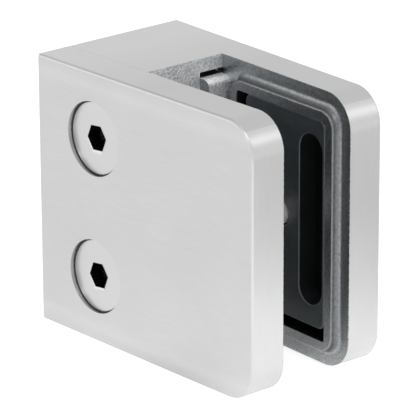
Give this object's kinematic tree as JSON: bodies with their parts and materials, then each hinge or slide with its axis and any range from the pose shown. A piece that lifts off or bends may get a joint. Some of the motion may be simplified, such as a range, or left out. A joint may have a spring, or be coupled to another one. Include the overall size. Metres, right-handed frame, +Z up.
{
  "type": "glass panel clamp",
  "caption": "Square flat-back clamp that holds the edge of a glass panel between rubber pads, closed by a screwed cover and bolted to a post.",
  "frame": {"origin": "centre of the face that meets the post, on the axis of the post bolt", "axes": "+X out of the post face towards the open mouth, +Z up, -Y out of the cover with its screws"},
  "size_m": [0.0501, 0.0288, 0.045],
  "materials": {
    "cast_steel": "cast stainless steel, satin brushed outside and as cast in the slot",
    "screw_steel": "bright cold-headed stainless steel",
    "pin_steel": "turned stainless steel",
    "pad_rubber": "moulded EPDM, satin"
  },
  "bodies": {
    "body": {"clamp_body": "cast_steel", "gasket_back": "pad_rubber", "safety_pin": "pin_steel"},
    "cover": {"cover_plate": "cast_steel", "gasket_front": "pad_rubber"},
    "upper_screw": {"screw_upper": "screw_steel"},
    "lower_screw": {"screw_lower": "screw_steel"}
  },
  "joints": [
    {"name": "cover_slide", "type": "slide", "parent": "body", "child": "cover", "axis": [0, -1, 0], "range_m": [0, 0.005]},
    {"name": "upper_screw_turn", "type": "hinge", "parent": "cover", "child": "upper_screw", "pos_m": [0.0132, -0.01318, 0.0115], "axis": [0, -1, 0], "range_deg": [0, 1800]},
    {"name": "lower_screw_turn", "type": "hinge", "parent": "cover", "child": "lower_screw", "pos_m": [0.0132, -0.01318, -0.0115], "axis": [0, -1, 0], "range_deg": [0, 1800]}
  ],
  "couplings": [
    {"joint": "upper_screw_turn", "follows": "cover_slide", "rad_per_m": 6283.2},
    {"joint": "lower_screw_turn", "follows": "cover_slide", "rad_per_m": 6283.2}
  ]
}
